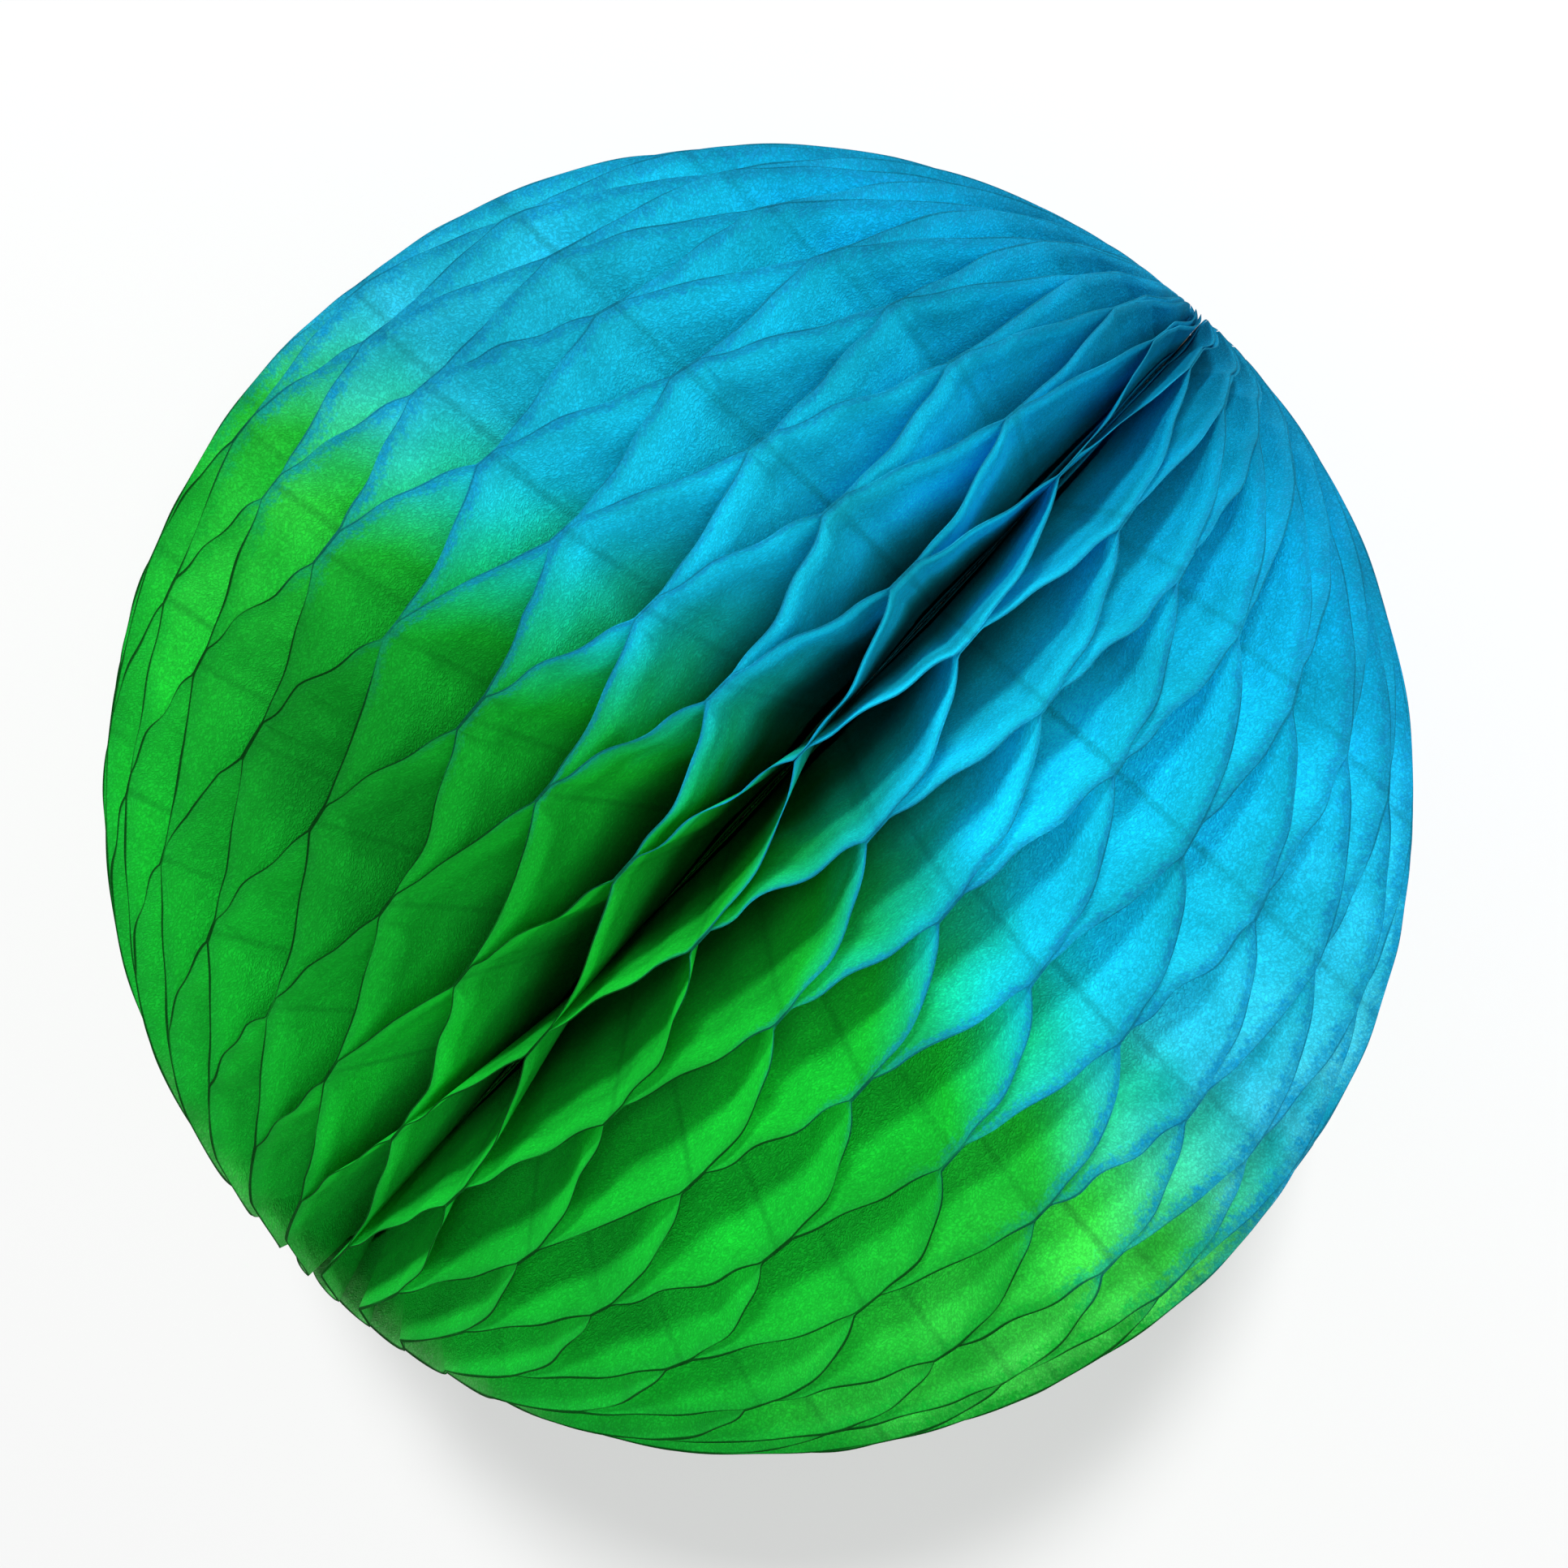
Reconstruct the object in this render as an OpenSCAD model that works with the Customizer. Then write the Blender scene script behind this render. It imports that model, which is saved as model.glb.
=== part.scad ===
// Paper honeycomb ball: half-round tissue leaves fanned round a spine and glued to
// each other on alternate lines, with two card covers that meet at the seam.
// The ball lies on its seam: the spine runs along X, level, and the seam points down.

/* [Ball] */
// Diameter of the open ball
ball_d = 150; // [110:1:220]
// Share by which the leaves stand closer at the top than on average
crowding = 0.5; // [0:0.02:0.56]

/* [Tissue leaves] */
// Thickness of one leaf, heavier than real tissue so that it stays a solid
leaf_t = 0.1; // [0.08:0.01:0.14]
// Thickness of the glue between two leaves
glue_film = 0.04; // [0.03:0.01:0.06]
// Distance along the spine from a glue line to the neighbouring leaf's glue line
glue_step = 17; // [15:0.5:22]
// Width of a glued strip, along the spine
glue_w = 2.5; // [1.5:0.5:5]
// Place of the topmost glue line nearest the middle, along the spine
glue_shift = 14; // [-8:0.5:16]
// How soon a leaf leans over to its next neighbour, going towards -X: 1 is straight
lean_over = 2; // [1:0.1:3]
// How soon a leaf leans over to its next neighbour, going towards +X: 1 is straight
lean_back = 1; // [0.8:0.1:2]

/* [Covers] */
// Thickness of a card cover
cover_t = 0.5; // [0.3:0.1:0.8]
// Distance from the spine's middle to a cover's straight edge
cover_in = 9; // [9:0.5:14]
// Thickness of the tape that holds the covers together
tape_t = 0.1; // [0.06:0.02:0.2]
// Width of a strip of tape
tape_w = 12; // [6:1:20]
// Length of a strip of tape
tape_len = 40; // [20:1:48]

/* [Spine] */
// Clearance between the spine core and the leaves' inner edges
core_gap = 0.35; // [0.2:0.05:0.6]
// Distance from the ball's end to the end of the spine core
core_inset = 4; // [3:0.5:8]
// Clearance between a thread knot and the end of the core
knot_gap = 0.1; // [0.05:0.05:0.3]

/* [Hidden] */
// The record lists the leaves one by one, so their number stays fixed
leaf_count = 54;
leaf_name = function(i) str("tissue_leaf_", i < 10 ? "0" : "", i);

ball_r = ball_d / 2;
tape_clear = 0.02;
round_fn = 180;

// Distance from the seam's middle plane to the first contact plane, past cover and half the glue
seat = tape_t / 2 + cover_t + glue_film / 2;
// Half the pitch of two leaves that are glued together
half_pitch = (leaf_t + glue_film) / 2;
// Smallest radius at which all leaves find room side by side at the crowded top
tightest = 2 * PI / leaf_count * (1 - crowding);
root_r = 1.05 * (2 * half_pitch + 2 * seat / leaf_count) / tightest;
core_r = root_r - core_gap;
knot_r = 0.9 * core_r;

// Leaf ends, where the round outline meets the inner edge
end_x = sqrt(ball_r * ball_r - root_r * root_r);
// Past this place the outline follows even steps of angle up to the end
cap_x = 0.95 * ball_r;
cap_angles = [75.5, 80, 84];

// First and last glue line within the leaf
first_row = ceil((2 - end_x - glue_shift) / glue_step);
last_row = floor((end_x - 2 - glue_shift) / glue_step);
row_x = function(k) glue_shift + k * glue_step;

// Contact plane m lies between leaf m and leaf m + 1: its angle from straight up, and how
// far it passes from the spine's axis
plane_turn = function(m) 360 * m / leaf_count - 180;
plane_angle = function(m) plane_turn(m) - crowding * 180 / PI * sin(plane_turn(m));
plane_offset = function(m) seat * (1 - 2 * m / leaf_count);

// A leaf touches its next neighbour (1) on every other glue line and its last one (0) between
touches = function(i, k) (i + k) % 2 == 0 ? 0 : 1;
// Way from a strip on the last neighbour to a strip on the next one: a kink, then a gentle roll
lean = function(t, n) 1 - pow(1 - t, n);
between = function(a, b, u) a + (b - a) * u;

// Share of the way from contact plane i - 1 to contact plane i at which leaf i stands at x
function sway(i, x) =
    let(
        k = floor((x - glue_shift) / glue_step),
        d = x - row_x(k),
        t = min(1, max(0, (d - glue_w / 2) / (glue_step - glue_w)))
    )
    touches(i, k) == 0 ? lean(t, lean_back) : lean(1 - t, lean_over);

// Point of leaf i at x along the spine and radius r, on its face s (-1 or 1)
function leaf_point(i, x, r, s) =
    let(
        u = sway(i, x),
        a = between(plane_angle(i - 1), plane_angle(i), u),
        off = between(plane_offset(i - 1) + half_pitch, plane_offset(i) - half_pitch, u)
            + s * leaf_t / 2
    )
    [x, -r * sin(a) - off * cos(a), ball_r + r * cos(a) - off * sin(a)];

// Places along the spine of the points on a leaf's rim
ramp_shares = [0, 0.25, 0.75, 1];
ramp_stops = [for (t = ramp_shares) glue_w / 2 + (glue_step - glue_w) * t];
rim_x = concat(
    [for (n = [len(cap_angles) - 1:-1:0]) -ball_r * sin(cap_angles[n])],
    [
        for (k = [first_row - 1:last_row], stop = ramp_stops)
            let(x = row_x(k) + stop)
            if (abs(x) < cap_x) x
    ],
    [for (a = cap_angles) ball_r * sin(a)]
);
root_x = concat([-end_x], [for (k = [first_row:last_row]) row_x(k)], [end_x]);

rim_n = len(rim_x);
root_n = len(root_x);
loop_n = rim_n + root_n;
root_id = function(a) loop_n - 1 - a;

// Inner point from which the fan of triangles reaches rim segment j
function apex(j) =
    j < 0 ? 0
    : j >= rim_n - 1 ? root_n - 1
    : let(row = round(((rim_x[j] + rim_x[j + 1]) / 2 - glue_shift) / glue_step))
        1 + min(last_row, max(first_row, row)) - first_row;

leaf_side = concat(
    [for (j = [0:rim_n - 2]) [j, j + 1, root_id(apex(j))]],
    [
        for (j = [0:rim_n - 1])
            if (apex(j) > apex(j - 1))
                for (a = [apex(j - 1):apex(j) - 1]) [j, root_id(a + 1), root_id(a)]
    ]
);
leaf_faces = concat(
    leaf_side,
    [for (f = leaf_side) [f[0] + loop_n, f[2] + loop_n, f[1] + loop_n]],
    [
        for (j = [0:loop_n - 1])
            let(n = (j + 1) % loop_n)
            each [[j, j + loop_n, n + loop_n], [j, n + loop_n, n]]
    ]
);

module tissue_leaf(i) {
    points = [
        for (s = [1, -1])
            each concat(
                [for (x = rim_x) leaf_point(i, x, sqrt(ball_r * ball_r - x * x), s)],
                [for (a = [root_n - 1:-1:0]) leaf_point(i, root_x[a], root_r, s)]
            )
    ];
    color([0.10, 0.62, 0.55])
        polyhedron(points, leaf_faces);
}

// Half-round card, drawn with the spine along X and the round side up
module cover_outline() {
    intersection() {
        circle(r = ball_r, $fn = round_fn);
        translate([-ball_r, cover_in]) square([ball_d, ball_d]);
    }
}

// Puts a flat shape into the seam, hanging down from the spine, with its near face at y
module in_seam(y, thick) {
    translate([0, y, ball_r])
        rotate([-90, 0, 0])
            linear_extrude(thick) children();
}

module front_cover() {
    color([0.16, 0.62, 0.80])
        in_seam(-tape_t / 2 - cover_t, cover_t) cover_outline();
}

module back_cover() {
    color([0.16, 0.62, 0.80])
        in_seam(tape_t / 2, cover_t) cover_outline();
}

// Two strips stuck to the back cover, one on each side of the middle
module seam_tape() {
    tape_x = ball_r * 0.32;
    tape_y = ball_r * 0.62;
    color([0.93, 0.90, 0.80])
        in_seam(-tape_t / 2 + tape_clear, tape_t - tape_clear)
            for (side = [-1, 1])
                translate([side * tape_x, tape_y])
                    square([tape_len, tape_w], center = true);
}

// The glued and sewn inner edges, gathered into a round cord that the leaves turn about
module spine_core() {
    core_len = 2 * (end_x - core_inset);
    color([0.86, 0.80, 0.66])
        translate([0, 0, ball_r])
            rotate([0, 90, 0])
                cylinder(r = core_r, h = core_len, center = true, $fn = round_fn);
}

// Thread knots that close both ends of the spine
module end_knots() {
    knot_x = end_x - core_inset + knot_gap;
    knot_len = 1.2 * knot_r;
    color([0.92, 0.88, 0.76])
        for (side = [-1, 1])
            translate([side * (knot_x + knot_len / 2), 0, ball_r])
                rotate([0, 90, 0])
                    rotate_extrude($fn = round_fn)
                        intersection() {
                            scale([1, 0.6]) circle(r = knot_r, $fn = round_fn);
                            translate([0, -knot_r]) square([knot_r, 2 * knot_r]);
                        }
}

for (i = [1:leaf_count])
    tissue_leaf(i);
front_cover();
back_cover();
seam_tape();
spine_core();
end_knots();
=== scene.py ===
# %% [markdown]
# # A paper honeycomb ball
# The ball is a stack of half-round tissue leaves, bound along their straight side and opened like a fan until
# the first and the last leaf meet. Each leaf is glued to its two neighbours on alternate lines, so the open
# fan is a honeycomb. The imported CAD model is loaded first: it fixes the size, the place and the hinge of
# every leaf, and nothing below moves or resizes it.

# %% Load the frame
import math

import bpy
import numpy as np
from mathutils import Matrix, Vector


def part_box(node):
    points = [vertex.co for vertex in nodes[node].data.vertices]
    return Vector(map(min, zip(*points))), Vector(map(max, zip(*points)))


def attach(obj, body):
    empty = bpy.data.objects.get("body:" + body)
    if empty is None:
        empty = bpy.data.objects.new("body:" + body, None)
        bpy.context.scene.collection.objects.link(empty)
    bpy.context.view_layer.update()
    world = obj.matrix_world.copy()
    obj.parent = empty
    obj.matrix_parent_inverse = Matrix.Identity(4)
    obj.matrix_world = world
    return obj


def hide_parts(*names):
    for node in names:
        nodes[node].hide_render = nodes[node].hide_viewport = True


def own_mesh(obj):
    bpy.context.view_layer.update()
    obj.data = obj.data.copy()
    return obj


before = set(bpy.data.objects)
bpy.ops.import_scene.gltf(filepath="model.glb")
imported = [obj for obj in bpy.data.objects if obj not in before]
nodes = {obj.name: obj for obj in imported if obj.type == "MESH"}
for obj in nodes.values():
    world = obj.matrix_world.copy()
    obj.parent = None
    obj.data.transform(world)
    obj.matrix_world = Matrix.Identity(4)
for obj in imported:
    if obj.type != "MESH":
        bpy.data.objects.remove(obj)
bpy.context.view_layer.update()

# %% [markdown]
# The few sizes that the leaves are worked out from come from the frame where it holds them: the covers give
# the ball's radius, the spine core its middle. They could be typed in again, but then leaves and frame could
# drift apart. The glue lines aren't in the frame, so these are the construction's own values, in metres.

# %% Sizes
MM = 0.001
cover_low, cover_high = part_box("back_cover")
core_low, core_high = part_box("spine_core")
spine_z = (core_low[2] + core_high[2]) / 2
ball_r = spine_z - cover_low[2]
centre = Vector((0, 0, spine_z))

leaf_names = sorted(n for n in nodes if n.startswith("tissue_leaf_"))
leaf_count = len(leaf_names)
crowding = 0.5
leaf_t = 0.1 * MM
glue_film = 0.04 * MM
glue_step = 17 * MM
glue_w = 2.5 * MM
glue_shift = 14 * MM
cover_seat = cover_high[1] + glue_film / 2
clearance = 0.03 * MM
core_r = (core_high[2] - core_low[2]) / 2
root_r = core_r + clearance
print(leaf_count, "leaves, ball radius", round(ball_r / MM, 2), "mm, root radius", round(root_r / MM, 2), "mm")

# %% [markdown]
# Hand-glued tissue is never quite even. Noise on every point could show that, but it would pull glued leaves
# apart. Instead a seeded generator gives each contact plane a slightly different angle, each glue line a
# slightly different place and width, and each stretch between two glue lines its own roll and creases. Both
# leaves at a glue line read the same numbers, so they still meet there.

# %% Irregularities
rng = np.random.default_rng(11)
plane_count = leaf_count + 1
row_low, row_count = -7, 13
per_row = (plane_count, row_count)
crease_grid = np.arange(-76, 77, 4.5) * MM

uneven_turn = rng.normal(0, 0.14, plane_count)
uneven_turn[[0, -1]] = 0
row_jitter = rng.normal(0, 0.35 * MM, per_row)
strip_width = np.clip(glue_w + 0.4 * MM + rng.normal(0, 0.5 * MM, per_row), 1.6 * MM, None)
lean_noise = rng.normal(0, 0.16, per_row)
lean_back = np.clip(rng.normal(0.97, 0.08, per_row), 0.85, 1.2)
ripple = np.clip(rng.normal(0.045, 0.018, per_row), 0, 0.075)
flutter_phase = rng.uniform(0, 2 * np.pi, (plane_count, 3))
crease_place = crease_grid + rng.uniform(-1.5, 1.5, (plane_count, crease_grid.size)) * MM
crease = rng.normal(0, 0.03, crease_place.shape)
print("glue strips", np.round(np.percentile(strip_width, (5, 95)) / MM, 1), "mm wide,", crease.size, "creases")

# %% [markdown]
# Between two leaves lies a contact plane, where their glue lines are. The planes turn about the spine like the
# pages of an opened book. They could stand at even angles, but the real fan is crowded at the top, opened a
# little wider on both sides of it, most of all at the green end, and its leaf tips curl at both poles. Each of
# these is one smooth term in the angle.

# %% Contact planes
even_turn = 2 * np.pi * np.arange(plane_count) / leaf_count - np.pi
fan_angle = np.degrees(even_turn - crowding * np.sin(even_turn))
right_place, right_width, right_open, right_more = 42, 32, 0.9, 2.2
left_place, left_width, left_open = -34, 17, 1.1
green_from, green_run = 5 * MM, 40 * MM
green_tip_from, green_tip_run, green_curl, green_curl_more = -62 * MM, 13 * MM, 4, 4
blue_tip_from, blue_tip_run, blue_curl = 68 * MM, 7 * MM, 2
curl_turn, curl_width = 1.5 * np.pi, 48


def ease(t):
    """0 below 0, 1 above 1, and 3 t^2 - 2 t^3 between."""
    t = np.clip(t, 0, 1)
    return t * t * (3 - 2 * t)


def hump(a, middle, width):
    """A bell curve of height 1: exp(-((a - middle) / width)^2)."""
    return np.exp(-(((a - middle) / width) ** 2))


def plane_angle(m, x):
    """Angle of contact plane m from straight up at places x along the spine, in radians: an even turn, less
    at the crowded top, with a hump on each side where the fan opened wider and a swirl at both ends."""
    a = fan_angle[m]
    green_end = ease((green_from - x) / green_run)
    wider = (right_open + right_more * green_end) * hump(a, right_place, right_width)
    wider = wider - left_open * hump(a, left_place, left_width)
    green_tip = np.clip((green_tip_from - x) / green_tip_run, 0, 1)
    blue_tip = np.clip((x - blue_tip_from) / blue_tip_run, 0, 1)
    swirl = np.sin(curl_turn * green_tip) * (green_curl + green_curl_more * green_tip)
    swirl = swirl + blue_curl * np.sin(curl_turn * blue_tip)
    return np.radians(a + uneven_turn[m] + wider + swirl * hump(a, 0, curl_width))


def plane_offset(m):
    """Distance at which contact plane m passes the spine's axis: a cover's seat at both ends, less between."""
    return cover_seat * (1 - 2 * m / leaf_count)


top_planes = np.arange(24, 31)
print("planes at the top:", np.round(np.degrees(np.diff(plane_angle(top_planes, 0.0))), 1), "degrees apart")

# %% [markdown]
# A leaf's wave is one number along the spine: 0 where the leaf lies against its last neighbour, 1 where it
# lies against its next one. A cloth simulation could open a glued pad, but 54 sheets are slow, and a formula
# gives the same wave at once. Towards the green end a leaf leaves the strip on its last neighbour with a kink
# and rolls gently on to its next one, most of all right of the middle. Towards the blue end it crosses almost
# straight, with a ripple. The two together give the petals their ogee outline.

# %% Wave of a leaf
tip_row = -5
roll, right_roll, roll_ripple = 1.5, 1.25, 0.6
roll_place, roll_width = 24, 26
roll_from, roll_run = -32 * MM, 28 * MM
slack_rate = 5


def sway(i, x):
    """Share of the way from contact plane i - 1 to contact plane i at places x along the spine: flat on the
    strips, and between them 1 - (1 - t) ** n + w sin(4 pi t), where t runs from the strip on plane i - 1.
    Past the last strip at the green end a leaf stays with the neighbour it is glued to there. Also gives how
    slack the leaf is: 0 on the strips, 1 between them."""
    k = np.maximum(np.floor((x - glue_shift) / glue_step).astype(int), tip_row)

    def row(k):
        """The share, the place and half the width of the leaf's strip on glue line k."""
        side = (i + k) % 2
        m = i - 1 + side
        place = glue_shift + k * glue_step + row_jitter[m, k - row_low]
        half = strip_width[m, k - row_low] / 2
        free = k == tip_row
        return np.where(free, 1 - side, side), np.where(free, -ball_r, place), np.where(free, 0, half)

    u_a, place_a, half_a = row(k)
    u_b, place_b, half_b = row(k + 1)
    start, stop = place_a + half_a, place_b - half_b
    t = np.clip((x - start) / (stop - start), 0, 1)
    wave = ripple[i, k - row_low] * np.sin(4 * np.pi * t)
    middle = glue_shift + (k + 0.5) * glue_step
    on_right = right_roll * hump(fan_angle[i], roll_place, roll_width)
    lean_over = roll + on_right * ease((middle - roll_from) / roll_run)
    over = t ** (lean_over + lean_noise[i, k - row_low]) + roll_ripple * wave
    back = 1 - (1 - t) ** lean_back[i, k - row_low] + wave
    share = np.where(u_b > u_a, back, over)
    slack = np.clip(slack_rate * np.minimum(t, 1 - t), 0, 1)
    return np.clip(u_a + (u_b - u_a) * share, 0, 1), slack


print("wave of the top leaf:", np.round(sway(leaf_count // 2, np.linspace(-40, 40, 9) * MM)[0], 2))

# %% [markdown]
# The tissue has two faces and a cut edge. A grid with a Solidify modifier would give it an even thickness.
# Here each leaf is a closed loop of points carried along the spine, because the real paper is pressed thin at
# the poles, where all the leaves have to find room, and because a worn rim is easy to write into a loop.

# %% Surface of a leaf
neck_r = 9 * MM
sheet_end = 73.6 * MM
overlap = 0.02 * MM
rim_r = ball_r - clearance
tip_end = rim_r * math.sin(0.997 * math.pi / 2)
points_along = 440
points_across = {"sheet": 9, "root": 4}
rim_wear, wear_long, wear_short = 0.12 * MM, 5.1 * MM, 2.3 * MM
tip_root_r, tip_from, tip_run = 1.2 * MM, 72.4 * MM, 2.2 * MM
least_depth = 0.3 * MM
inner_crease, rim_crease = 0.3, 0.7
thinned, thin_from, thin_run = 0.75, 71 * MM, 2 * MM


def leaf_surface(i, part):
    """Points of one part of leaf i as an array (along, around, 3): a closed loop round the sheet at each place
    along the spine. x follows rim_r * sin(s), the rim lies on the ball's sphere, less a little wear, and each
    loop runs out on one face and back on the other, half the leaf's thickness to either side. The root is the
    narrow strip below the neck and the last tip at either pole, and the sheet is all the rest. Small creases,
    most of all at the rim, are added to the wave. Past the thread knots the inner edge closes in and the leaf
    thins to a quarter, as pressed tissue does, so that all leaves find room there."""
    across = points_across[part]
    reach = math.asin((sheet_end if part == "sheet" else tip_end) / rim_r)
    x = rim_r * np.sin(np.linspace(-reach, reach, points_along))
    phase = flutter_phase[i]
    worn = rim_wear * (1 + np.sin(x / wear_long + phase[0]) * np.sin(x / wear_short + phase[1]))
    root = root_r - (root_r - tip_root_r) * ease((np.abs(x) - tip_from) / tip_run)
    rim = np.sqrt(np.maximum((ball_r - worn) ** 2 - x**2, (root + least_depth) ** 2))
    if part == "sheet":
        low_r, high_r = np.full_like(x, neck_r), rim
    else:
        low_r, high_r = root, np.where(np.abs(x) < sheet_end + overlap, neck_r, rim)
    share = np.linspace(0, 1, across)
    share = np.concatenate([share, share[::-1]])
    r = low_r[:, None] + (high_r - low_r)[:, None] * share
    v = (r - root[:, None]) / (rim - root)[:, None]

    u, slack = sway(i, x)
    crumple = slack * np.interp(x, crease_place[i], crease[i])
    u = np.clip(u[:, None] + crumple[:, None] * (inner_crease + rim_crease * v**2), 0, 1)
    first, last = plane_angle(i - 1, x)[:, None], plane_angle(i, x)[:, None]
    angle = first + (last - first) * u
    thin = 1 - thinned * ease((np.abs(x) - thin_from) / thin_run)[:, None]
    half = thin * (leaf_t + glue_film) / 2
    low, high = plane_offset(i - 1) + half, plane_offset(i) - half
    face = thin * leaf_t * np.repeat([0.5, -0.5], across)
    off = low + (high - low) * u + face
    sin_a, cos_a = np.sin(angle), np.cos(angle)
    return np.stack(
        [
            np.broadcast_to(x[:, None], r.shape),
            -r * sin_a - off * cos_a,
            spine_z + r * cos_a - off * sin_a,
        ],
        axis=-1,
    )


print("points of a sheet:", leaf_surface(1, "sheet").shape, "and of a root:", leaf_surface(1, "root").shape)

# %% [markdown]
# Leaves, spine and threads are all closed tubes: rings of points, each joined to the next. Blender can bevel a
# curve into a tube, but only with one profile along its length. So one helper turns rings of any shape into a
# mesh, with its faces outwards and both ends closed.

# %% Mesh from rings
def tube_mesh(name, points):
    """A closed mesh from rings of points: quads join each ring to the next, and one face closes each end."""
    rings, around = points.shape[:2]
    a = np.arange(rings - 1)[:, None] * around + np.arange(around)
    b = np.arange(rings - 1)[:, None] * around + np.roll(np.arange(around), -1)
    quads = np.stack([a, b, b + around, a + around], axis=-1).reshape(-1, 4)
    caps = [list(range(around))[::-1], list(range((rings - 1) * around, rings * around))]
    mesh = bpy.data.meshes.new(name)
    mesh.from_pydata(points.reshape(-1, 3), [], quads.tolist() + caps)
    mesh.shade_smooth()
    mesh.update()
    piece = bpy.data.objects.new(name, mesh)
    bpy.context.collection.objects.link(piece)
    return piece


print("a leaf will have", sum((points_along - 1) * 2 * n + 2 for n in points_across.values()), "faces")

# %% [markdown]
# Materials could be wired by hand in the Shader Editor. Written as code they need many small nodes, so a few
# helpers chain Math nodes, and a formula in the shader reads almost like one in Python. Further helpers follow
# where they are first needed.

# %% Number nodes
def add(tree, kind, **settings):
    """A new node with its settings."""
    made = tree.nodes.new(kind)
    for key, value in settings.items():
        setattr(made, key, value)
    return made


def join(tree, source, target):
    """Links a socket, or sets a plain value, on another socket."""
    if isinstance(source, bpy.types.NodeSocket):
        tree.links.new(source, target)
    else:
        target.default_value = source


def number(tree, operation, *values, clamp=False):
    """One Math node."""
    made = add(tree, "ShaderNodeMath", operation=operation, use_clamp=clamp)
    for value, socket in zip(values, made.inputs):
        join(tree, value, socket)
    return made.outputs[0]


def times(tree, *values, clamp=False):
    """The product of all values, kept between 0 and 1 at the end if clamp is set."""
    product = values[0]
    for value in values[1:-1]:
        product = number(tree, "MULTIPLY", product, value)
    return number(tree, "MULTIPLY", product, values[-1], clamp=clamp)


def scaled(tree, value, factor, offset, clamp=False):
    """value * factor + offset."""
    return number(tree, "MULTIPLY_ADD", value, factor, offset, clamp=clamp)


print("number nodes: number, times, scaled")

# %% [markdown]
# Tissue and card share one look: short fibres pressed flat, with thicker and thinner clouds. A scanned texture
# would show them, but it needs a UV map and a file. Noise at several scales needs neither, and as a node group
# it is built once and placed in each paper. The group gives a fine fibre value, patches, a slow cloud value
# and a height for the bump, in which thin winding lines stand for single fibres.

# %% Paper fibres
def noise(tree, vector, scale, detail=3.0, roughness=0.55):
    """A noise value from 0 to 1, with a scale in lumps for each metre."""
    made = add(tree, "ShaderNodeTexNoise")
    join(tree, vector, made.inputs["Vector"])
    made.inputs["Scale"].default_value = scale
    made.inputs["Detail"].default_value = detail
    made.inputs["Roughness"].default_value = roughness
    return made.outputs[0]


def new_group(name, inputs, outputs):
    """A shader node group with named sockets, and its inner ends."""
    tree = bpy.data.node_groups.new(name, "ShaderNodeTree")
    for label, kind in inputs:
        tree.interface.new_socket(label, in_out="INPUT", socket_type=f"NodeSocket{kind}")
    for label, kind in outputs:
        tree.interface.new_socket(label, in_out="OUTPUT", socket_type=f"NodeSocket{kind}")
    return tree, tree.nodes.new("NodeGroupInput").outputs, tree.nodes.new("NodeGroupOutput").inputs


fibres, fibres_in, fibres_out = new_group(
    "paper fibres",
    [("Vector", "Vector")],
    [("Fibre", "Float"), ("Patch", "Float"), ("Cloud", "Float"), ("Height", "Float")],
)
place = fibres_in["Vector"]
grain = noise(fibres, place, 2600, detail=2.0)
strand = noise(fibres, place, 900, detail=3.0, roughness=0.7)
patch = noise(fibres, place, 420, detail=2.0)
cloud = noise(fibres, place, 70, detail=2.0)
worm = scaled(fibres, noise(fibres, place, 2500, detail=1.0), 6.0, -3.0)
worm = number(fibres, "ABSOLUTE", worm, clamp=True)
fine = number(fibres, "ADD", times(fibres, grain, 0.5), times(fibres, strand, 0.5))
join(fibres, fine, fibres_out["Fibre"])
join(fibres, patch, fibres_out["Patch"])
join(fibres, cloud, fibres_out["Cloud"])
join(fibres, number(fibres, "ADD", times(fibres, worm, 0.4), fine), fibres_out["Height"])
print("paper fibres:", len(fibres.nodes), "nodes")

# %% [markdown]
# The dye runs from blue at one end of the spine to green at the other. It soaked in from the cut edges, so
# the blue reaches further along the rims than deep in the cells. It could be painted on each leaf, but 54
# painted leaves would never agree at their rims. So all of it is a function of three lengths that Object
# coordinates give: the place along the spine, the place to the side, and the depth below the ball's sphere.

# %% Dye from end to end
BLUE = (0.010, 0.72, 0.90, 1)
CYAN = (0.012, 0.60, 0.78, 1)
DEEP_BLUE = (0.003, 0.53, 0.84, 1)
BLUE_TIP = (0.005, 0.28, 0.60, 1)
GREEN = (0.012, 0.66, 0.050, 1)


def rest_of(tree, value):
    """1 - value."""
    return number(tree, "SUBTRACT", 1.0, value)


def step_between(tree, value, low, high):
    """0 below low, 1 above high, and a smooth rise between them."""
    made = add(tree, "ShaderNodeMapRange", interpolation_type="SMOOTHSTEP")
    for source, socket in zip((value, low, high, 0.0, 1.0), made.inputs):
        join(tree, source, socket)
    return made.outputs[0]


def blend_colours(tree, factor, a, b, mode="MIX"):
    """A Mix node for colours, whose sockets come after those for numbers and vectors."""
    made = add(tree, "ShaderNodeMix", data_type="RGBA", blend_type=mode)
    join(tree, factor, made.inputs[0])
    join(tree, a, made.inputs[6])
    join(tree, b, made.inputs[7])
    return made.outputs[2]


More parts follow.
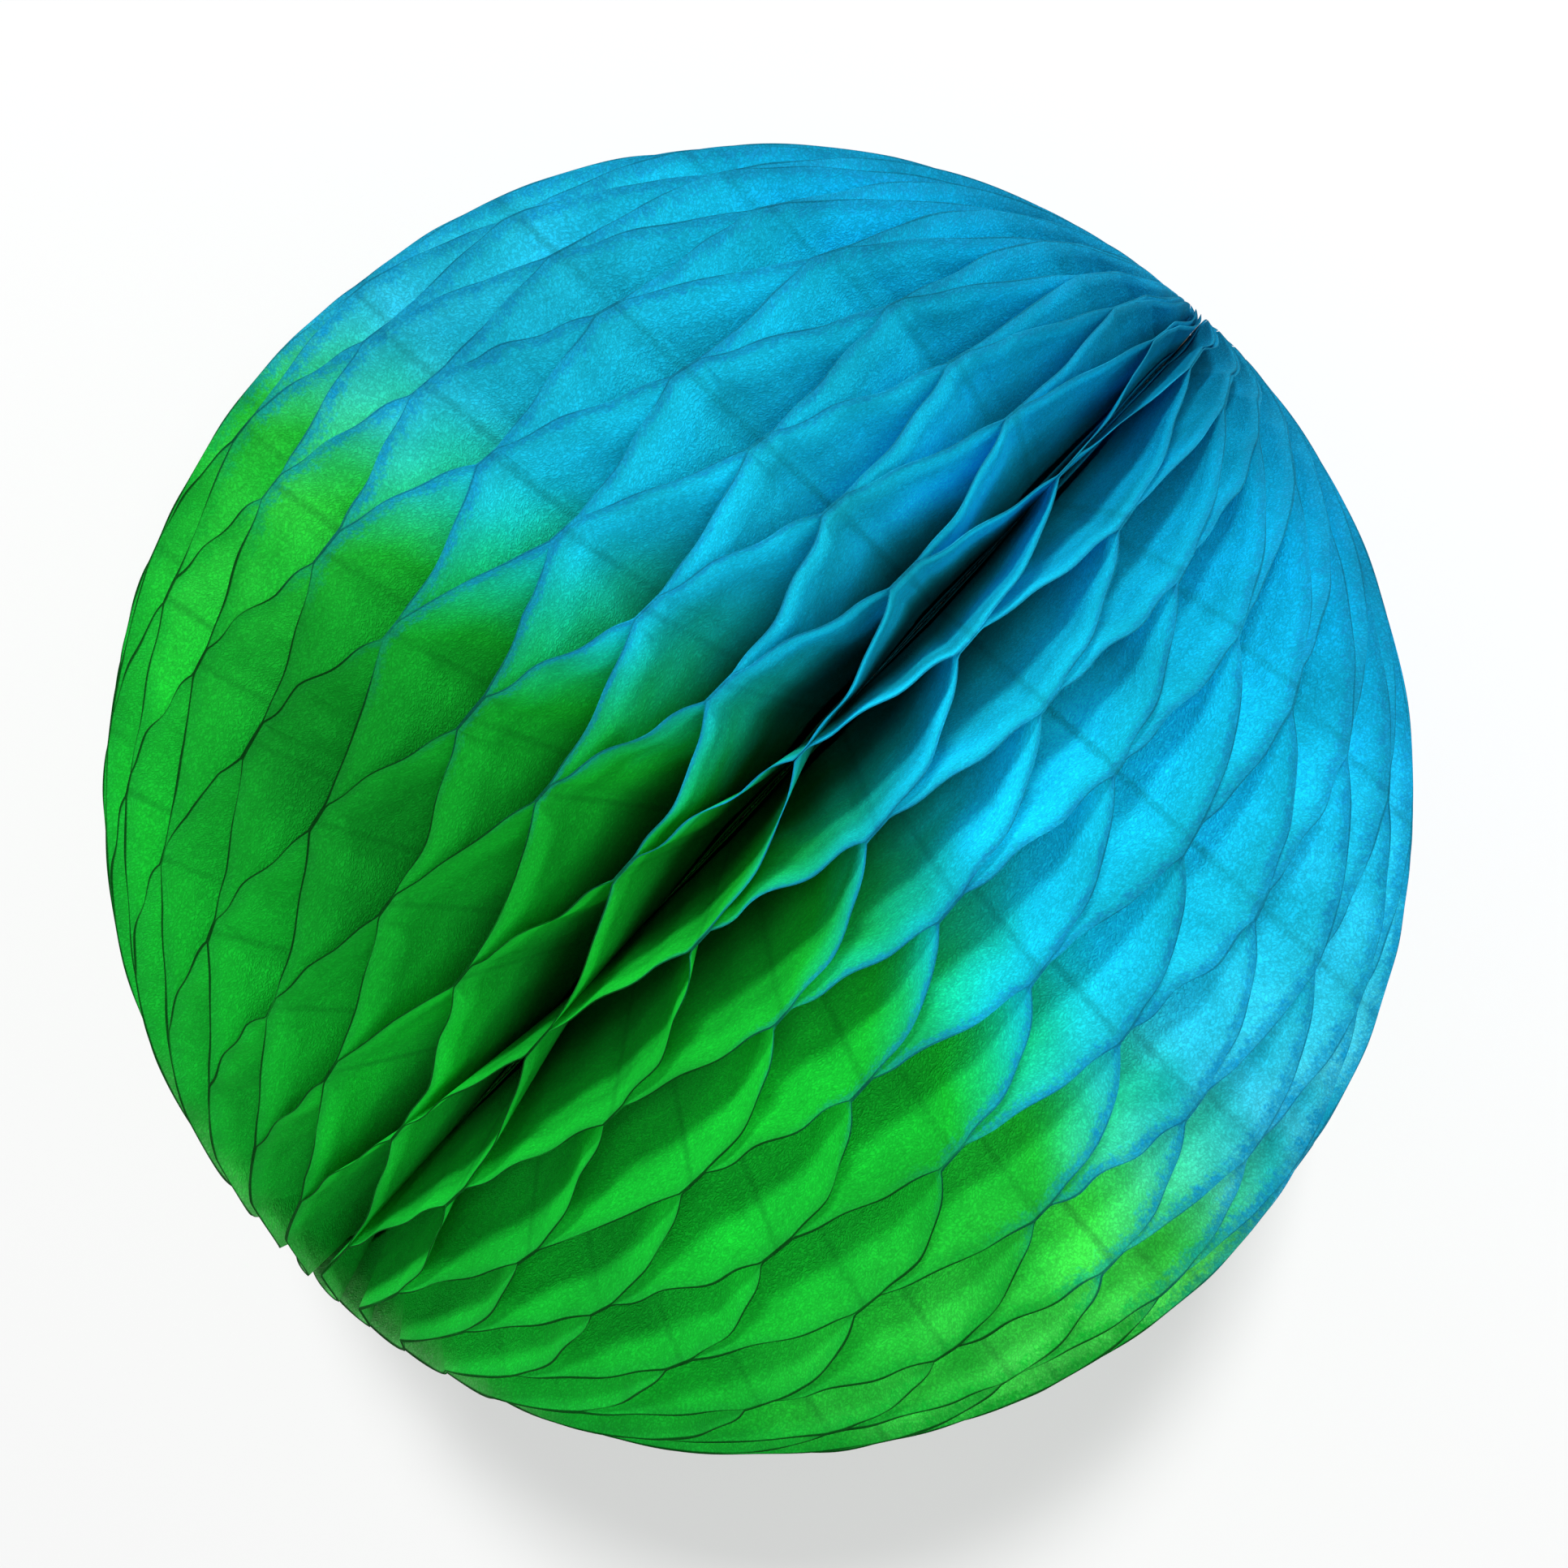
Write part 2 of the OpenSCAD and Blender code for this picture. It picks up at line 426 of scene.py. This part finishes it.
dye, dye_in, dye_out = new_group(
    "dye",
    [(label, "Float") for label in ("Along", "Side", "Depth", "Fibre", "Patch", "Cloud")],
    [("Color", "Color")],
)
soak = number(dye, "EXPONENT", number(dye, "DIVIDE", dye_in["Depth"], -10 * MM))
border = scaled(dye, soak, -9 * MM, 14 * MM)
uneven = times(dye, number(dye, "SUBTRACT", dye_in["Cloud"], 0.5), 10 * MM)
level = number(dye, "ADD", number(dye, "SUBTRACT", dye_in["Along"], border), uneven)
blue = step_between(dye, level, -10 * MM, 10 * MM)

near_end = step_between(dye, dye_in["Along"], 28 * MM, 55 * MM)
to_the_left = step_between(dye, dye_in["Side"], -0.3 * ball_r, 0.8 * ball_r)
paler = times(dye, to_the_left, 0.7, rest_of(dye, near_end))
richer = times(dye, step_between(dye, dye_in["Along"], 28 * MM, 68 * MM), 0.9)
at_tip = times(dye, step_between(dye, dye_in["Along"], 57 * MM, 75 * MM), 0.7)
blues = blend_colours(dye, richer, blend_colours(dye, paler, BLUE, CYAN), DEEP_BLUE)
blues = blend_colours(dye, at_tip, blues, BLUE_TIP)
face = blend_colours(dye, blue, GREEN, blues)
print("dye from end to end:", len(dye.nodes), "nodes")

# %% [markdown]
# On both flanks the paper is thinner and takes less dye. On the right flank the pale colour is also painted
# light, growing towards the limb. The pale places are broken up by the fibres' clouds.

# %% Pale flanks, with painted light on the right
PALE_BLUE = (0.34, 0.95, 0.95, 1)
PALE_GREEN = (0.14, 0.95, 0.18, 1)


def bell(tree, value, middle, width):
    """A bell curve of height 1, as in `hump`."""
    way = number(tree, "DIVIDE", number(tree, "SUBTRACT", value, middle), width)
    return number(tree, "EXPONENT", times(tree, way, way, -1.0))


# Painted light: the right flank is paled more and more towards the limb.
right_limb_light = step_between(dye, dye_in["Side"], -0.70 * ball_r, -0.95 * ball_r)
right_flank_pale_and_lit = times(
    dye,
    step_between(dye, dye_in["Side"], -0.40 * ball_r, -0.85 * ball_r),
    bell(dye, dye_in["Along"], -12 * MM, 40 * MM),
    scaled(dye, right_limb_light, 2.0, 1.6),
)
left_flank = times(
    dye,
    step_between(dye, dye_in["Side"], 0.40 * ball_r, 0.80 * ball_r),
    bell(dye, dye_in["Along"], 6 * MM, 26 * MM),
    scaled(dye, blue, -0.5, 0.8),
)
pale_and_lit_flank = number(dye, "MAXIMUM", right_flank_pale_and_lit, left_flank)
pale_and_lit_flank = times(dye, pale_and_lit_flank, scaled(dye, dye_in["Cloud"], 0.9, -0.22), clamp=True)
face = blend_colours(dye, pale_and_lit_flank, face, blend_colours(dye, blue, PALE_GREEN, PALE_BLUE))
print("with pale flanks:", len(dye.nodes), "nodes")

# %% [markdown]
# Along each cut edge the dye left a band up to 3 mm wide, ragged and speckled, and blue further along than the
# face is. At the green ends of the leaves it hardly took. Right at the edge a thin dark line is painted shade,
# where each rim lies close over the next leaf; it is finer where it is blue. A separate strip of mesh could
# carry the band, but a depth that the fibres make ragged does it without another piece.

# %% Rim bands and painted shade at the cut edges
BLUE_BAND = (0.010, 0.40, 0.66, 1)
GREEN_BAND = (0.012, 0.54, 0.050, 1)
GREEN_TIP = (0.30, 0.72, 0.30, 1)
# The next two colours are for the painted shade along the cut edges.
BLUE_EDGE_SHADE = (0.003, 0.12, 0.18, 1)
GREEN_EDGE_SHADE = (0.001, 0.02, 0.003, 1)

band_level = number(dye, "ADD", dye_in["Along"], uneven)
band_blue = step_between(dye, band_level, -11 * MM, 8 * MM)
band_width = scaled(dye, dye_in["Fibre"], 7.0 * MM, -2.1 * MM)
band_width = scaled(dye, dye_in["Patch"], 1.0 * MM, band_width)
band = rest_of(dye, step_between(dye, dye_in["Depth"], times(dye, band_width, 0.2), band_width))
band = times(dye, band, scaled(dye, dye_in["Fibre"], 3.0, -0.6), clamp=True)
band = times(dye, band, scaled(dye, dye_in["Patch"], 1.0, 0.35, clamp=True))
face = blend_colours(dye, band, face, blend_colours(dye, band_blue, GREEN_BAND, BLUE_BAND))

bare = times(
    dye,
    rest_of(dye, step_between(dye, dye_in["Depth"], 0.3 * MM, 4.5 * MM)),
    step_between(dye, dye_in["Along"], -58 * MM, -72 * MM),
    scaled(dye, dye_in["Fibre"], 1.6, -0.3),
    clamp=True,
)
face = blend_colours(dye, bare, face, GREEN_TIP)

# Painted shade: a thin dark line along each cut edge, where a rim lies close over the next leaf.
edge_shade_width = scaled(dye, band_blue, -0.12 * MM, 0.34 * MM)
edge = rest_of(dye, step_between(dye, dye_in["Depth"], times(dye, edge_shade_width, 0.5), edge_shade_width))
edge = times(dye, edge, scaled(dye, band_blue, -0.35, 0.85))
face = blend_colours(dye, edge, face, blend_colours(dye, band_blue, GREEN_EDGE_SHADE, BLUE_EDGE_SHADE))
print("with rim bands:", len(dye.nodes), "nodes")

# %% [markdown]
# Deep in the cells the tissue is painted darker, down to a quarter of its colour 38 mm below the sphere: this
# is painted shade. Near the rims it is painted a little darker too, painted shade as well. A run of dye darkens
# the green side left of the middle.

# %% Painted shade and dye in the cells
def darken(tree, colour, value):
    """colour * value: the value becomes a grey, which is multiplied in."""
    grey = add(tree, "ShaderNodeCombineColor")
    for socket in grey.inputs[:3]:
        join(tree, value, socket)
    return blend_colours(tree, 1.0, colour, grey.outputs[0], mode="MULTIPLY")


run_in = times(
    dye,
    bell(dye, dye_in["Along"], -15 * MM, 17 * MM),
    bell(dye, dye_in["Side"], 0.38 * ball_r, 0.22 * ball_r),
    rest_of(dye, blue),
)
cell_shade_and_dye_run = times(
    dye,
    # Painted shade in the cells: from 15 mm below the sphere the tissue darkens, down to a quarter from 38 mm.
    scaled(dye, step_between(dye, dye_in["Depth"], 15 * MM, 38 * MM), -0.75, 1.0),
    scaled(dye, run_in, -0.36, 1.0),
    # Painted shade at the rims: 0.87 at the rim, rising to 1.05 from 9 mm in.
    scaled(dye, step_between(dye, dye_in["Depth"], 0.0, 9 * MM), 0.18, 0.87),
)
join(dye, darken(dye, face, cell_shade_and_dye_run), dye_out["Color"])
print("dye:", len(dye.nodes), "nodes")

# %% [markdown]
# Tissue, card and spine are all paper with this dye on it. Each could place the two groups by itself, but then
# the same links would be written three times. So two functions place the groups in a material.

# %% Dyed paper
def new_material(name):
    """A material, its nodes and its Principled shader."""
    material = bpy.data.materials.new(name)
    material.use_nodes = True
    tree = material.node_tree
    return material, tree, tree.nodes["Principled BSDF"]


def place_group(tree, group, **values):
    """A group placed in a material, with its inputs by name."""
    made = add(tree, "ShaderNodeGroup", node_tree=group)
    for label, value in values.items():
        join(tree, value, made.inputs[label])
    return made.outputs


def paper_places(tree):
    """Object coordinates, the places along the spine and to the side in them, and the fibres there."""
    where = add(tree, "ShaderNodeTexCoord").outputs["Object"]
    apart = add(tree, "ShaderNodeSeparateXYZ")
    join(tree, where, apart.inputs[0])
    return where, apart.outputs["X"], apart.outputs["Y"], place_group(tree, fibres, Vector=where)


def dyed(tree, along, side, depth, fibre):
    """The dye's colour on paper with these fibres, with the painted shade in the cells and along the edges and
    the painted light on the right flank.
    """
    speckle = {label: fibre[label] for label in ("Fibre", "Patch", "Cloud")}
    return place_group(tree, dye, Along=along, Side=side, Depth=depth, **speckle)["Color"]


print("dyed paper uses", [group.name for group in (fibres, dye)])

# %% [markdown]
# On the tissue the dye is mottled by the fibres and by clouds. Dark stripes across the petals are the glue
# lines on the far side. They could be painted on each leaf, but they repeat along the spine, so one Math node
# that runs to and fro gives every leaf the way to its nearest line. The mottle also carries painted shade: the
# tissue is a few percent darker to the left (+Y) than to the right (-Y).

# %% Tissue colour
tissue, tree, paper = new_material("tissue")
where, along, side, fibre = paper_places(tree)
from_centre = add(tree, "ShaderNodeVectorMath", operation="DISTANCE")
join(tree, where, from_centre.inputs[0])
from_centre.inputs[1].default_value = centre
depth = number(tree, "SUBTRACT", ball_r, from_centre.outputs["Value"])

glue_way = number(tree, "PINGPONG", number(tree, "SUBTRACT", along, glue_shift), glue_step / 2)
glue_line = times(
    tree,
    rest_of(tree, step_between(tree, glue_way, 0.08 * MM, 0.65 * MM)),
    times(tree, fibre["Cloud"], 0.30),
    step_between(tree, number(tree, "ABSOLUTE", along), 62 * MM, 42 * MM),
)
mottle_and_side_shade = times(
    tree,
    scaled(tree, fibre["Height"], 0.70, 0.52),
    scaled(tree, fibre["Cloud"], 0.8, 0.6),
    rest_of(tree, glue_line),
    # Painted shade: a few percent darker to the left (+Y), lighter to the right (-Y).
    scaled(tree, side, -0.03 / ball_r, 1.01),
)
tissue_colour = darken(tree, dyed(tree, along, side, depth, fibre), mottle_and_side_shade)
print("tissue colour:", len(tree.nodes), "nodes")

# %% [markdown]
# The tissue is a matt sheet that lets some light through. Subsurface scattering is meant for thick things, so
# a Translucent shader is mixed with the Principled one, and the fibres give a faint bump.

# %% Tissue sheet
light_through = 0.45


def bumped(tree, surface, height, strength, distance):
    """Small heights on a shader's surface."""
    bump = add(tree, "ShaderNodeBump")
    bump.inputs["Strength"].default_value = strength
    bump.inputs["Distance"].default_value = distance
    join(tree, height, bump.inputs["Height"])
    join(tree, bump.outputs[0], surface.inputs["Normal"])


join(tree, tissue_colour, paper.inputs["Base Color"])
paper.inputs["Roughness"].default_value = 0.8
paper.inputs["Diffuse Roughness"].default_value = 0.9
paper.inputs["Specular IOR Level"].default_value = 0.06
bumped(tree, paper, fibre["Height"], strength=0.65, distance=0.25 * MM)

glow = add(tree, "ShaderNodeBsdfTranslucent")
join(tree, tissue_colour, glow.inputs["Color"])
sheet = add(tree, "ShaderNodeMixShader")
sheet.inputs[0].default_value = light_through
join(tree, paper.outputs[0], sheet.inputs[1])
join(tree, glow.outputs[0], sheet.inputs[2])
join(tree, sheet.outputs[0], tree.nodes["Material Output"].inputs["Surface"])
print("tissue:", len(tree.nodes), "nodes")

# %% [markdown]
# Now the leaves themselves. Each one stands for its CAD node and rides on its body, so it turns about the spine
# with it when the ball folds. In the pad the sheets fan out between the two covers, while their roots run
# closer together towards the spine. A leaf is therefore made of two strips, a root and a sheet, that meet at
# the neck.

# %% Tissue leaves
root_stack = 0.33 * MM
faces = 0
for i, name in enumerate(leaf_names, 1):
    turn = math.radians(fan_angle[i - 1] + fan_angle[i]) / 2
    share = 0.5 + turn / (2 * math.pi)
    out = Vector((0, -math.sin(turn), math.cos(turn)))
    square = Vector((0, -math.cos(turn), -math.sin(turn)))
    rise = (root_stack - 2 * cover_seat) * share
    tilted = (square * (neck_r - root_r) - out * rise).normalized()
    for part, axis in (("sheet", square), ("root", tilted)):
        label = name.replace("tissue_leaf", "paper_leaf" if part == "sheet" else "leaf_root")
        leaf = tube_mesh(label, leaf_surface(i, part))
        leaf.data.materials.append(tissue)
        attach(leaf, name.replace("tissue_", ""))
        if part == "sheet":
            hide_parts(name)
        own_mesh(leaf)
        faces += len(leaf.data.polygons)
print(leaf_count, "leaves,", faces, "faces")

# %% [markdown]
# The two covers are plain half-round card. Their CAD shapes are right as they are, so they are kept and only
# get a better finish: the same dye as the tissue has well below its rims, with dark specks and pale clouds.

# %% Card
CARD_SPECK = (0.02, 0.16, 0.18, 1)
CARD_CLOUD = (0.30, 0.44, 0.42, 1)
below_rims = 10 * MM


def dyed_paper(tree):
    """The dye well below the rims, and the fibres it lies on."""
    _, along, _, fibre = paper_places(tree)
    return dyed(tree, along, 0.0, below_rims, fibre), fibre


card, tree, board = new_material("card")
card_colour, fibre = dyed_paper(tree)
speck = times(tree, step_between(tree, fibre["Fibre"], 0.50, 0.66), 0.35)
card_colour = blend_colours(tree, speck, card_colour, CARD_SPECK)
cloudy = times(tree, number(tree, "SUBTRACT", fibre["Cloud"], 0.35), 0.5, clamp=True)
card_colour = blend_colours(tree, cloudy, card_colour, CARD_CLOUD)
join(tree, card_colour, board.inputs["Base Color"])
board.inputs["Roughness"].default_value = 0.7
bumped(tree, board, fibre["Height"], strength=0.5, distance=0.15 * MM)
print("card:", len(tree.nodes), "nodes")

# %% [markdown]
# The tape that holds the covers together is paper too, and the sewing thread is twisted fibre. Each could have
# a material wired for it, but both are undyed, so one function gives a fibrous finish between two colours.

# %% Tape and thread
def plain_paper(name, dark, light, roughness):
    """A fibrous material between two colours, clouded and specked."""
    material, tree, surface = new_material(name)
    fibre = place_group(tree, fibres, Vector=add(tree, "ShaderNodeTexCoord").outputs["Object"])
    shade = scaled(tree, fibre["Patch"], 0.6, times(tree, fibre["Height"], 0.4))
    join(tree, blend_colours(tree, shade, dark, light), surface.inputs["Base Color"])
    surface.inputs["Roughness"].default_value = roughness
    bumped(tree, surface, fibre["Height"], strength=0.5, distance=0.12 * MM)
    return material


tape = plain_paper("tape", dark=(0.50, 0.44, 0.30, 1), light=(0.86, 0.82, 0.70, 1), roughness=0.45)
thread = plain_paper("thread", dark=(0.36, 0.31, 0.20, 1), light=(0.78, 0.70, 0.52, 1), roughness=0.85)
finishes = {"front_cover": card, "back_cover": card, "seam_tape": tape}
for name, finish in finishes.items():
    nodes[name].data.materials.clear()
    nodes[name].data.materials.append(finish)
print("finished:", ", ".join(finishes))

# %% [markdown]
# The leaves' inner edges are gathered into a cord, glued and sewn. A plain cylinder would do for the size, but
# not for the look between two roots. So the cord is a tube with one flute for each leaf, in the leaves' own
# colours under dried glue. The frame's spine gives its radius and length, and the cord stays inside them.

# %% Spine
DRIED_GLUE = (0.42, 0.36, 0.20, 1)
core_half = (core_high[0] - core_low[0]) / 2
valley, flute_depth, slack_depth = 0.945, 0.04, 0.012
drawn_in, draw_run = 0.35, 2 * MM


def spine_surface(rings=160, around=324):
    """The fluted cord: radius core_r * (valley + flute_depth |sin(n a / 2 + drift)| + slack), with n flutes
    round it that drift along the spine, a slack that comes and goes as sin(x + 2 sin a), and both ends drawn
    in."""
    x = np.linspace(-core_half, core_half, rings)[:, None]
    a = np.linspace(0, 2 * np.pi, around, endpoint=False)
    drift = 0.5 * np.sin(x / (7 * MM)) + 0.3 * np.sin(x / (2.9 * MM) + 1)
    flute = np.abs(np.sin(leaf_count / 2 * a + drift))
    slack = slack_depth * np.sin(x / (4.3 * MM) + 2 * np.sin(a))
    r = core_r * (valley + flute_depth * flute + slack)
    r = r * (1 - drawn_in * ease((np.abs(x) - core_half + draw_run) / draw_run))
    return np.stack([np.broadcast_to(x, r.shape), -r * np.sin(a), spine_z + r * np.cos(a)], axis=-1)


core, tree, surface = new_material("core")
core_colour, fibre = dyed_paper(tree)
glued = times(tree, step_between(tree, fibre["Patch"], 0.48, 0.62), 0.55)
join(tree, blend_colours(tree, glued, core_colour, DRIED_GLUE), surface.inputs["Base Color"])
surface.inputs["Roughness"].default_value = 0.6
bumped(tree, surface, fibre["Height"], strength=0.5, distance=0.15 * MM)

cord = tube_mesh("gathered_spine", spine_surface())
cord.data.materials.append(core)
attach(cord, "spine")
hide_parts("spine_core")
print("spine:", len(cord.data.polygons), "faces")

# %% [markdown]
# A thread is sewn round the spine and ends in a wound knot at either end. A curve with a bevel could be the
# thread. Here a circle is carried along a path, with the same mesh helper as for the leaves: the path is a long
# screw line for the seam, and for a knot a screw line that also swings from side to side on a small barrel.

# %% Thread and knots
knot_low, knot_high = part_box("end_knots")
knot_r = (knot_high[2] - knot_low[2]) / 2
seam_inset, seam_turns, seam_start = 2 * MM, 12, 1.38
seam_sunk, seam_thread_r = 0.15 * MM, 0.16 * MM
knot_thread_r, knot_half, knot_turns = 0.26 * MM, 1.0 * MM, 15
knot_gap, knot_inset, knot_bore = 0.05 * MM, 0.35 * MM, 0.05 * MM
swing, swing_count = 1.25, 5.3
thread_points = 700


def thread_surface(path, radius, around=8):
    """A tube round a path: at each point a circle across the path, set up on the direction from the axis."""
    ahead = np.gradient(path, axis=0)
    ahead /= np.linalg.norm(ahead, axis=1, keepdims=True)
    outwards = path - np.array([0, 0, spine_z])
    outwards -= ahead * np.sum(outwards * ahead, axis=1, keepdims=True)
    outwards /= np.linalg.norm(outwards, axis=1, keepdims=True)
    across = np.cross(ahead, outwards)
    turn = np.linspace(0, 2 * np.pi, around, endpoint=False)[:, None]
    ring = np.cos(turn)[None] * outwards[:, None] + np.sin(turn)[None] * across[:, None]
    return path[:, None] + radius * ring


def winding(x, r, turn):
    """A path at places x along the spine, at radius r and an angle from straight up."""
    return np.stack([x, -r * np.sin(turn), spine_z + r * np.cos(turn)], axis=-1)


t = np.linspace(0, 1, thread_points)
seam_x = (core_half - seam_inset) * (2 * t - 1)
seam = winding(seam_x, np.full_like(t, core_r - seam_sunk), 2 * np.pi * seam_turns * t + seam_start)
stitches = tube_mesh("spine_thread", thread_surface(seam, seam_thread_r))
stitches.data.materials.append(thread)
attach(stitches, "spine")

knot_x = (knot_high[0] + core_half) / 2 + knot_gap
tilt = swing * np.sin(2 * np.pi * swing_count * t)
barrel_r = (knot_r - knot_inset) * np.cos(tilt) + knot_bore
for name, end in (("blue_knot", 1), ("green_knot", -1)):
    wound = winding(end * (knot_x + knot_half * np.sin(tilt)), barrel_r, 2 * np.pi * knot_turns * t)
    knot = tube_mesh(name, thread_surface(wound, knot_thread_r))
    knot.data.materials.append(thread)
    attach(knot, "spine")
    if end > 0:
        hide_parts("end_knots")
print("thread:", len(stitches.data.polygons), "faces, knots at", round(knot_x / MM, 1), "mm")

# %% [markdown]
# The ball lies on a plain pale floor. A curved backdrop is the usual studio way, but the camera looks down, so
# one large flat face is enough.

# %% Floor
floor_half = 3.0
corners = [(-1, -1), (1, -1), (1, 1), (-1, 1)]
floor_mesh = bpy.data.meshes.new("floor")
floor_mesh.from_pydata([(floor_half * x, floor_half * y, 0) for x, y in corners], [], [(0, 1, 2, 3)])
floor = bpy.data.objects.new("floor", floor_mesh)
bpy.context.collection.objects.link(floor)
pale, tree, surface = new_material("pale floor")
surface.inputs["Base Color"].default_value = (0.69, 0.69, 0.69, 1)
surface.inputs["Roughness"].default_value = 0.9
floor_mesh.materials.append(pale)
print("floor:", 2 * floor_half, "m across")

# %% [markdown]
# The camera looks down at the ball from close by, turned so that the spine leans to the right in the picture.
# It could be placed by eye. Here its direction follows from two angles of the spine, and its lens and shift
# from the place and size of the ball's outline in a picture of 1932 by 1932 pixels.

# %% Camera
photo_side = 1932
photo_ball = (935, 985)
photo_ball_r = 810
spine_lean = math.radians(42.87)
spine_nod = math.radians(7)
view_distance = 3.2 * ball_r
sensor = 36

towards = Vector((math.sin(spine_nod), 0, math.cos(spine_nod)))
spine_shown = Vector((math.cos(spine_nod), 0, -math.sin(spine_nod)))
beside = towards.cross(spine_shown)
right = spine_shown * math.sin(spine_lean) - beside * math.cos(spine_lean)
up = spine_shown * math.cos(spine_lean) + beside * math.sin(spine_lean)

camera = bpy.data.objects.new("camera", bpy.data.cameras.new("camera"))
bpy.context.collection.objects.link(camera)
turned = Matrix((right, up, towards)).transposed().to_4x4()
camera.matrix_world = Matrix.Translation(centre + towards * view_distance) @ turned
outline_slope = ball_r / math.sqrt(view_distance**2 - ball_r**2)
camera.data.sensor_width = sensor
camera.data.lens = sensor * photo_ball_r / outline_slope / photo_side
camera.data.shift_x = (photo_side / 2 - photo_ball[0]) / photo_side
camera.data.shift_y = (photo_ball[1] - photo_side / 2) / photo_side
camera.data.clip_start = 0.01
bpy.context.scene.camera = camera
print("camera:", round(camera.data.lens, 1), "mm lens,", round(view_distance, 3), "m away")

# %% [markdown]
# One soft light stands beside the camera, so that it reaches into the cells, and a smaller one stands towards
# the picture's top and throws the shadow. A sun lamp would leave the cells black. An even white world fills in
# the rest.

# %% Light
lamp_distance = 1.8
world_strength = 0.29


def soft_light(name, direction, size, power):
    """A square area light that faces the ball."""
    lamp = bpy.data.objects.new(name, bpy.data.lights.new(name, "AREA"))
    bpy.context.collection.objects.link(lamp)
    lamp.data.size = size
    lamp.data.energy = power
    lamp.location = centre + direction.normalized() * lamp_distance
    lamp.rotation_euler = (lamp.location - centre).to_track_quat("Z", "Y").to_euler()
    return lamp


lamps = [
    soft_light("front", towards + right * 0.05 - up * 0.05, size=0.7, power=25.3),
    soft_light("top", towards - right * 0.05 + up * 0.50, size=0.22, power=18.8),
]
world = bpy.data.worlds.new("studio")
world.use_nodes = True
background = world.node_tree.nodes["Background"]
background.inputs["Color"].default_value = (1, 1, 1, 1)
background.inputs["Strength"].default_value = world_strength
bpy.context.scene.world = world
bpy.context.scene.view_settings.view_transform = "Standard"
print("lights:", {lamp.name: round(lamp.data.energy, 1) for lamp in lamps}, "W")
